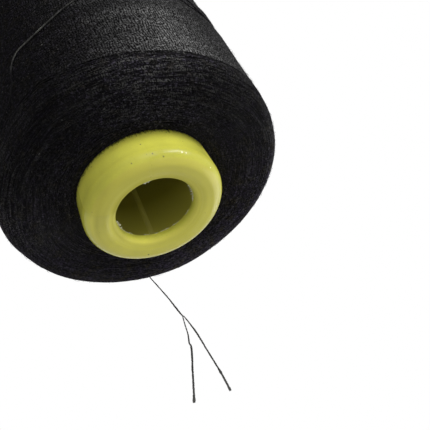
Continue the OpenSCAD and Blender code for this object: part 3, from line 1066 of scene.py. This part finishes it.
def drifted(line, drift):
    """A line moved aside by a table of (share of its length, along +X), in millimetres."""
    reach = reached(line)
    return line + turned(looked_up(drift, reach / reach[-1]) * MM, 0, 0)


def strands_along(line, count, pitch, spread, radius, fullness, winding, draws):
    """Fine strands that wind round a line and wander off it: centres, outward directions and radii."""
    step = 0.11 * MM
    fine = spaced(line, step)
    ahead = unit(np.gradient(fine, axis=0))
    side = unit(np.cross(ahead, UP + np.array([0.01, 0.02, 0])))
    over = np.cross(side, ahead)
    places = np.arange(len(fine)) * step
    full = looked_up(fullness, places / places[-1])
    knots = np.arange(0, places[-1] + 2 * MM, 1.1 * MM)
    centres, outs, radii = [], [], []
    for k in range(count):
        angle = FULL_CIRCLE * (places / pitch + k / count)
        wander = full * np.interp(places, knots, draws.uniform(0.75, 1.25, len(knots)))
        out = np.cos(angle)[:, None] * side + np.sin(angle)[:, None] * over
        centres.append(fine + (spread * winding.thread * wander)[:, None] * out)
        outs.append(out)
        radii.append(radius * winding.thread * (0.5 + 0.5 * wander))
    return np.array(centres), np.array(outs), np.array(radii)


def stray_fibres(line, count, reach, draws):
    """Short fibres that stand out of a thread."""
    fine = spaced(line, 0.3 * MM)
    at = draws.integers(1, len(fine) - 2, count)
    ahead = unit(fine[at + 1] - fine[at - 1]) * draws.choice([-1, 1], count)[:, None]
    aside = unit(draws.normal(size=(count, 3)))
    share = np.linspace(0, 1, 5)[:, None]
    long = draws.uniform(0.4, 1.1, (count, 1, 1)) * MM
    out = reach * draws.uniform(0.5, 1, (count, 1, 1))
    lines = fine[at][:, None] + long * share * ahead[:, None] + out * np.sin(share * 2.2) * aside[:, None]
    lines[..., 2] = np.maximum(lines[..., 2], 0.03 * MM)
    return lines, np.repeat(aside[:, None], 5, 1)


def make_loose_end(winding, finish):
    """The loose end: a slack turn and a fall to the floor, then the two plies that it comes apart into."""
    material = loose_material(finish)
    slipped = Mesh()
    draws = np.random.default_rng(SEEDS["slipped_strands"])
    for strand in SLIPPED_STRANDS:
        line = smooth_route(round_the_flank(winding, strand))
        slipped.tubes(*strands_along(line, *WORN, EVEN, winding, draws), 5)
    dull, worn = scaled(finish.thread, 0.6), scaled(finish.thread, 2.5)
    dull_thread = mottled_material("slipped_thread", (700.0, 2.0), (0.35, 0.65), dull, worn, 0.8, 0.02)
    slipped.piece("slipped_strands", dull_thread, "loose_thread")
    tail = np.concatenate([round_the_flank(winding, SLACK_TURN), np.array(FALL_TO_FLOOR) * MM])
    routes = {
        "thread_tail": drifted(smooth_route(tail), TAIL_DRIFT),
        "tail_ply_left": drifted(smooth_route(np.array(PLY_LEFT) * MM), LEFT_DRIFT),
        "tail_ply_right": smooth_route(np.array(PLY_RIGHT) * MM),
    }
    draws = np.random.default_rng(SEEDS["loose_end"])
    for name, line in routes.items():
        makeup, fibres = (SPUN, 160) if name == "thread_tail" else (LOOSE_PLY, 110)
        centres, outward, radii = strands_along(line, *makeup, FULLNESS[name], winding, draws)
        centres[..., 2] = np.maximum(centres[..., 2], radii)
        made = Mesh()
        made.tubes(centres, outward, radii, 5)
        made.tubes(*stray_fibres(line, fibres, 0.4 * MM, draws), 0.02 * MM)
        piece = made.piece(f"loose_{name}", material, "loose_thread", (name,))


# ---- stage


def soft_light(name, direction, distance, width, height, watts, along=None):
    """A rectangular soft light that faces the object, its width along a direction, or level."""
    lamp = bpy.data.lights.new(name, "AREA")
    lamp.shape = "RECTANGLE"
    lamp.size = width
    lamp.size_y = height
    lamp.energy = watts
    made = bpy.data.objects.new(name, lamp)
    away = Vector(direction).normalized()
    level = Vector(along) if along else Vector((0, 0, 1)).cross(away)
    across = away.cross(level).normalized()
    turn = Matrix((across.cross(away), across, away)).transposed()
    made.matrix_world = Matrix.Translation(LIT_POINT + away * distance) @ turn.to_4x4()
    bpy.context.scene.collection.objects.link(made)


def make_camera():
    """The camera, below the floor and in front, which looks up at the domed base."""
    place = Vector((0, -261.532, -234.831)) * MM
    ahead = Vector((0.04486, 0.75859, 0.65003)).normalized()
    up = Vector((0.41572, -0.60584, 0.67833))
    right = ahead.cross(up).normalized()
    up = right.cross(ahead)
    focal, pixels, sensor = 1150, 430, 36
    data = bpy.data.cameras.new("camera")
    data.sensor_width = sensor
    data.sensor_fit = "HORIZONTAL"
    data.lens = focal * sensor / pixels
    data.clip_start = 0.01
    made = bpy.data.objects.new("camera", data)
    turn = Matrix((right, up, -ahead)).transposed()
    made.matrix_world = Matrix.Translation(place) @ turn.to_4x4()
    bpy.context.scene.collection.objects.link(made)
    bpy.context.scene.camera = made


def make_world():
    """An even surround that shows white and lights softly."""
    world = bpy.data.worlds.new("surround")
    bpy.context.scene.world = world
    recipe = Recipe(world)
    shown = 0.0
    for kind in ("Camera", "Glossy", "Transmission"):
        ray = recipe.node("ShaderNodeLightPath", {}, {}, f"Is {kind} Ray")
        shown = recipe.maths("MAXIMUM", shown, ray)
    back = recipe.tree.nodes["Background"]
    recipe.feed(back.inputs["Color"], (1, 1, 1))
    recipe.feed(back.inputs["Strength"], 0.4 + 0.6 * shown)


def make_floor(finish):
    """A pale floor that keeps the object's shadow and is clear from below."""
    mesh = bpy.data.meshes.new("floor")
    rim = turned(FLOOR_RADIUS, FULL_CIRCLE * np.arange(FLOOR_CORNERS) / FLOOR_CORNERS, 0)
    mesh.from_pydata(rim, [], [list(range(FLOOR_CORNERS))])
    mesh.materials.append(floor_material(finish))
    floor = bpy.data.objects.new("floor", mesh)
    bpy.context.scene.collection.objects.link(floor)
    floor.visible_diffuse = False
    floor.visible_glossy = False
    floor.visible_transmission = False
    floor.visible_shadow = False


# ---- operators


class CONE_OT_stage(bpy.types.Operator):
    """Make the camera, the lights, the surround and the floor"""

    bl_idname = "cone.stage"
    bl_label = "Stage"

    def execute(self, context):
        context.scene.view_settings.view_transform = "Standard"
        make_camera()
        make_world()
        make_floor(context.scene.cone_finish)
        for name, settings in LIGHTS.items():
            soft_light(name, *settings)
        return {"FINISHED"}


class CONE_OT_loose_end(bpy.types.Operator):
    """Make the loose end of the thread"""

    bl_idname = "cone.loose_end"
    bl_label = "Loose end"

    def execute(self, context):
        scene = context.scene
        make_loose_end(scene.cone_winding_sizes, scene.cone_finish)
        return {"FINISHED"}


class CONE_OT_core(bpy.types.Operator):
    """Make the plastic core"""

    bl_idname = "cone.core"
    bl_label = "Core"

    def execute(self, context):
        scene = context.scene
        make_core(scene.cone_core_sizes, scene.cone_winding_sizes, scene.cone_finish)
        make_flash(scene.cone_core_sizes)
        return {"FINISHED"}


class CONE_OT_winding(bpy.types.Operator):
    """Make the wound thread, its outermost runs, its domed ends and its fuzz"""

    bl_idname = "cone.winding"
    bl_label = "Winding"

    def execute(self, context):
        scene = context.scene
        core, winding = scene.cone_core_sizes, scene.cone_winding_sizes
        material = wound_material(scene.cone_finish, winding)
        section = Section(core, winding)
        make_package(section, material)
        make_flank_thread(section, material)
        base = (0.3 * MM, section.shoulder - 0.6 * MM)
        nose = (section.crown - 1.2 * MM, section.length - 0.3 * MM)
        make_end_thread(section, material, "base_end_thread", winding.base_arcs, *base, 1)
        make_end_thread(section, material, "nose_end_thread", winding.nose_arcs, *nose, -1)
        shades = (scene.cone_finish.thread, scene.cone_finish.fibre)
        make_fuzz(section, mottled_material("thread_fuzz", (900.0, 1.0), (0.35, 0.7), *shades, 0.6, 0.1))
        return {"FINISHED"}


class CONE_PT_panel(bpy.types.Panel):
    """Lists the steps that build the thread cone"""

    bl_label = "Thread cone"
    bl_space_type = "VIEW_3D"
    bl_region_type = "UI"
    bl_category = "Thread cone"

    def draw(self, context):
        for name, group in SETTINGS.items():
            box = self.layout.box()
            box.label(text=group.__doc__)
            for key in group.__annotations__:
                box.prop(getattr(context.scene, name), key)
        for step in STEPS:
            self.layout.operator(step.bl_idname)


STEPS = (CONE_OT_stage, CONE_OT_loose_end, CONE_OT_core, CONE_OT_winding)
CLASSES = (*SETTINGS.values(), *STEPS, CONE_PT_panel)


def register():
    for kind in CLASSES:
        bpy.utils.register_class(kind)
    for name, group in SETTINGS.items():
        setattr(bpy.types.Scene, name, PointerProperty(type=group))


def unregister():
    for name in SETTINGS:
        delattr(bpy.types.Scene, name)
    for kind in reversed(CLASSES):
        bpy.utils.unregister_class(kind)


def main():
    register()
    bpy.ops.cone.stage()
    bpy.ops.cone.loose_end()
    bpy.ops.cone.core()
    bpy.ops.cone.winding()


if __name__ == "__main__":
    main()
